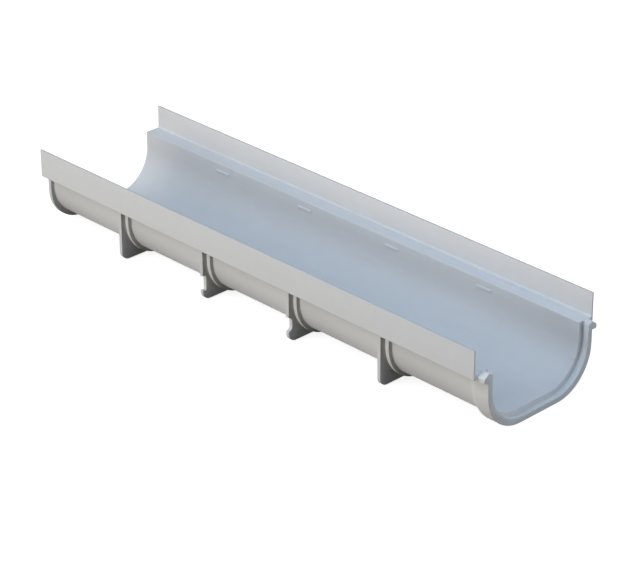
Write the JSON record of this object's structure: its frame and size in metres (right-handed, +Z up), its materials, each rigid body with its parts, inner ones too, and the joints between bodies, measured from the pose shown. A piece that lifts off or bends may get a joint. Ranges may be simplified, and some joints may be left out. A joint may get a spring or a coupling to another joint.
{
  "type": "channel drain section",
  "caption": "Light grey moulded plastic channel drain section with upstands for a grating, round trough, cross fins, a spigot end and a socket end",
  "frame": {"origin": "centre of the bounding box in X and Y, on the plane the channel's underside stands on", "axes": "+X runs along the channel from the spigot end to the socket end, +Y across it, +Z up out of the open top"},
  "size_m": [0.5108, 0.134, 0.0758],
  "materials": {
    "channel_body": "light grey moulded plastic, satin, faintly mottled"
  },
  "bodies": {
    "root": {"channel_body": "channel_body"}
  },
  "joints": []
}
